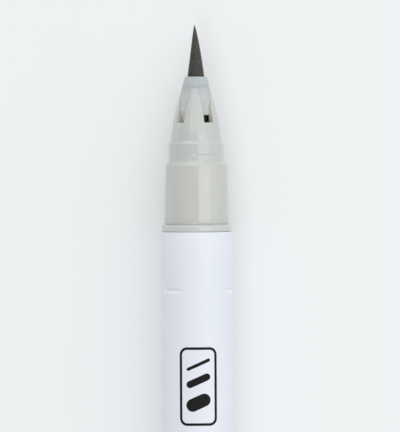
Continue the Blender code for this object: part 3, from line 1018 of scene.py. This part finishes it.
def make_cap(material):
    """The outer cap with its roll stop, bore and air vents."""
    inside = [
        (CAP_FLOOR, 0),
        (CAP_FLOOR, CAP_DEEP_BORE - 0.5 * MM),
        (17.8 * MM, CAP_DEEP_BORE),
        (10.6 * MM, CAP_DEEP_BORE),
        (10.4 * MM, CAP_BORE),
        (CAP_LIP, CAP_BORE),
        (0, CAP_BORE + CAP_LIP),
    ]
    taper = (CAP_END_RADIUS - CAP_RIM_RADIUS) / (CAP_LENGTH - CAP_EDGE - CAP_LIP)
    body = [
        STOP_FRONT - STOP_SHOULDER,
        STOP_FRONT - STOP_STEP,
        STOP_FRONT,
        STOP_FRONT + STOP_SLOPE,
        STOP_REAR - STOP_SLOPE,
        STOP_REAR,
        STOP_REAR + STOP_STEP,
        STOP_REAR + STOP_SHOULDER,
        12 * MM,
        20 * MM,
        28 * MM,
        36 * MM,
    ]
    outside = [
        (0, CAP_RIM_RADIUS - CAP_LIP),
        (0.06 * MM, CAP_RIM_RADIUS - 0.06 * MM),
        (CAP_LIP, CAP_RIM_RADIUS),
        *[(depth, CAP_RIM_RADIUS + taper * (depth - CAP_LIP)) for depth in body],
        *rear_edge(CAP_LENGTH, CAP_END_RADIUS, CAP_EDGE, steps=12),
        (CAP_LENGTH, 0),
    ]
    outline = [(CAP_RIM + depth, radius) for depth, radius in inside + outside]
    shell = turned("cap_outer_shell", outline, material, columns=96)
    stop_front, stop_rear = STOP_FRONT - STOP_STEP / 2, STOP_REAR + STOP_STEP / 2
    for vertex in shell.data.vertices:
        depth = TIP_Y - vertex.co.y - CAP_RIM
        radius = math.hypot(vertex.co.x, vertex.co.z - AXIS_Z)
        if radius > CAP_BORE + 0.4 * MM and stop_front < depth < stop_rear:
            angle = math.atan2(vertex.co.z - AXIS_Z, vertex.co.x)
            vertex.co = place(CAP_RIM + depth, max(radius, stop_radius(depth, angle)), angle)
    merge_close(shell)
    for i in range(3):
        centre = math.pi / 2 + 2 * math.pi / 3 * i
        sides = (centre - VENT_HALF_ANGLE, centre + VENT_HALF_ANGLE)
        depths = (CAP_FLOOR - MM, CAP_LENGTH + MM)
        vent = sector(f"vent_{i}", [(CAP_RIM + depth, *VENT_RADII, *sides) for depth in depths])
        combine(shell, vent, "DIFFERENCE")
    merge_close(shell)
    shell.data.set_sharp_from_angle(angle=math.radians(10))
    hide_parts("cap_shell")
    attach(shell, "cap")


def dress(node, material):
    """Gives a CAD node that stays its finished material."""
    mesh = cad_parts[node].data
    mesh.materials.clear()
    mesh.materials.append(material)


# Studio

CAMERA_HEIGHT = 750 * MM
VIEW_LENGTH = 67.5 * MM  # length of the object that fills the picture's height
VIEW_STATION = 29.8 * MM
CAMERA_STATION = 20.0 * MM
VIEW_SIDE = 0.53 * MM
CAMERA_ROLL = math.radians(0.31)
SENSOR = 36.0
PANEL_HEIGHT = 1.0
PANELS = [  # name, degrees from the zenith across the marker and along it, radiance
    ("main_softbox", (8.5, 53), (-12, 14), 1.255),
    ("left_panel", (-25, 3.6), (-50, -12), 2.04),
    ("front_panel", (-32, 50), (14, 50), 0.78),
]
SCREENS = [  # name, size, x, station and height, degrees turned about X and Y, radiance
    ("front_screen", (4.0, 1.2), (0, -1.5, 0.7), (-90, 0), 0.88),
    ("right_screen", (0.9, 2.0), (1.4, VIEW_STATION, 0.55), (0, 90), 0.49),
]
ROOM_COLOUR = (0.985, 0.995, 1.0)
ROOM_RADIANCE = 0.545
TABLE_HALF_WIDTH = 3.0


def make_camera():
    """Looks straight down on the front of the marker, brush point up."""
    camera = bpy.data.cameras.new("camera")
    camera.sensor_width = SENSOR
    camera.clip_start = 0.01
    camera.clip_end = 10
    made = bpy.data.objects.new("camera", camera)
    bpy.context.scene.collection.objects.link(made)
    eye = Vector((VIEW_SIDE, TIP_Y - CAMERA_STATION, AXIS_Z + CAMERA_HEIGHT))
    target = Vector((VIEW_SIDE, TIP_Y - VIEW_STATION, AXIS_Z))
    forward = (target - eye).normalized()
    right = forward.cross(Vector((math.sin(CAMERA_ROLL), math.cos(CAMERA_ROLL), 0))).normalized()
    up = right.cross(forward)
    turn = Matrix((right, up, -forward)).transposed().to_4x4()
    made.matrix_world = Matrix.Translation(eye) @ turn
    camera.lens = SENSOR * (target - eye).length / VIEW_LENGTH
    bpy.context.scene.camera = made


def softbox(name, size, radiance):
    """A rectangular light of even brightness, which faces down until it is turned."""
    light = bpy.data.lights.new(name, "AREA")
    light.shape = "RECTANGLE"
    light.size, light.size_y = size
    light.energy = radiance * math.pi * size[0] * size[1]
    made = bpy.data.objects.new(name, light)
    bpy.context.scene.collection.objects.link(made)
    made.visible_camera = False
    return made


def overhead_panel(name, across, along, radiance):
    """A level softbox between two angles from the zenith, across the marker and along it."""
    angles = [math.radians(angle) for angle in (*across, *along)]
    left, right, rear, front = (math.tan(angle) * PANEL_HEIGHT for angle in angles)
    panel = softbox(name, (right - left, front - rear), radiance)
    middle = TIP_Y - VIEW_STATION
    panel.location = ((left + right) / 2, middle + (rear + front) / 2, AXIS_Z + PANEL_HEIGHT)


def make_studio():
    """A pale table top under three panels, a screen in front and at the right, and a soft room."""
    bm = bmesh.new()
    half = TABLE_HALF_WIDTH
    corners = [(-half, -half, 0), (half, -half, 0), (half, half, 0), (-half, half, 0)]
    bm.faces.new([bm.verts.new(corner) for corner in corners])
    floor = object_from("table_top", bm, floor_material())
    for panel in PANELS:
        overhead_panel(*panel)
    for name, size, (x, station, height), turns, radiance in SCREENS:
        screen = softbox(name, size, radiance)
        screen.location = (x, TIP_Y - station, height)
        screen.rotation_euler = (*[math.radians(turn) for turn in turns], 0)
    world = bpy.data.worlds.new("soft_room")
    world.use_nodes = True
    background = world.node_tree.nodes["Background"]
    background.inputs["Color"].default_value = (*ROOM_COLOUR, 1.0)
    background.inputs["Strength"].default_value = ROOM_RADIANCE
    bpy.context.scene.world = world
    bpy.context.scene.view_settings.view_transform = "Standard"


def make_marker():
    """Every visible piece of the marker."""
    charcoal = cap_material()
    bristle = bristle_material()
    natural = moulded("natural_plastic", NATURAL_COLOUR, 0.4).material
    fused = moulded("fused_nylon", FUSED_COLOUR, 0.35, variation=0.2).material
    make_brush(bristle)
    make_ferrule(frosted_material())
    make_section(grip_material(), moulded("window_wall_shade", WALL_SHADE_COLOUR, 0.5).material)
    make_barrel(
        barrel_material("barrel_plastic", BARREL_COLOUR),
        barrel_material("barrel_dent_highlight", DENT_HIGHLIGHT_COLOUR),
    )
    make_mark(ink_material())
    make_tail_plug(charcoal)
    make_cap(charcoal)
    dress("bristle_root", fused)
    dress("feed_wick", fibre_material("wick_fibre", WICK_COLOUR, 3 * MM, 0.01 * MM))
    dress(
        "reservoir_wadding", fibre_material("wadding_fibre", WADDING_COLOUR, 6 * MM, 0.05 * MM)
    )
    dress("reservoir_film", film_material())
    dress("wick_holder", natural)
    dress("inner_cap", natural)


make_camera()
make_studio()
make_marker()
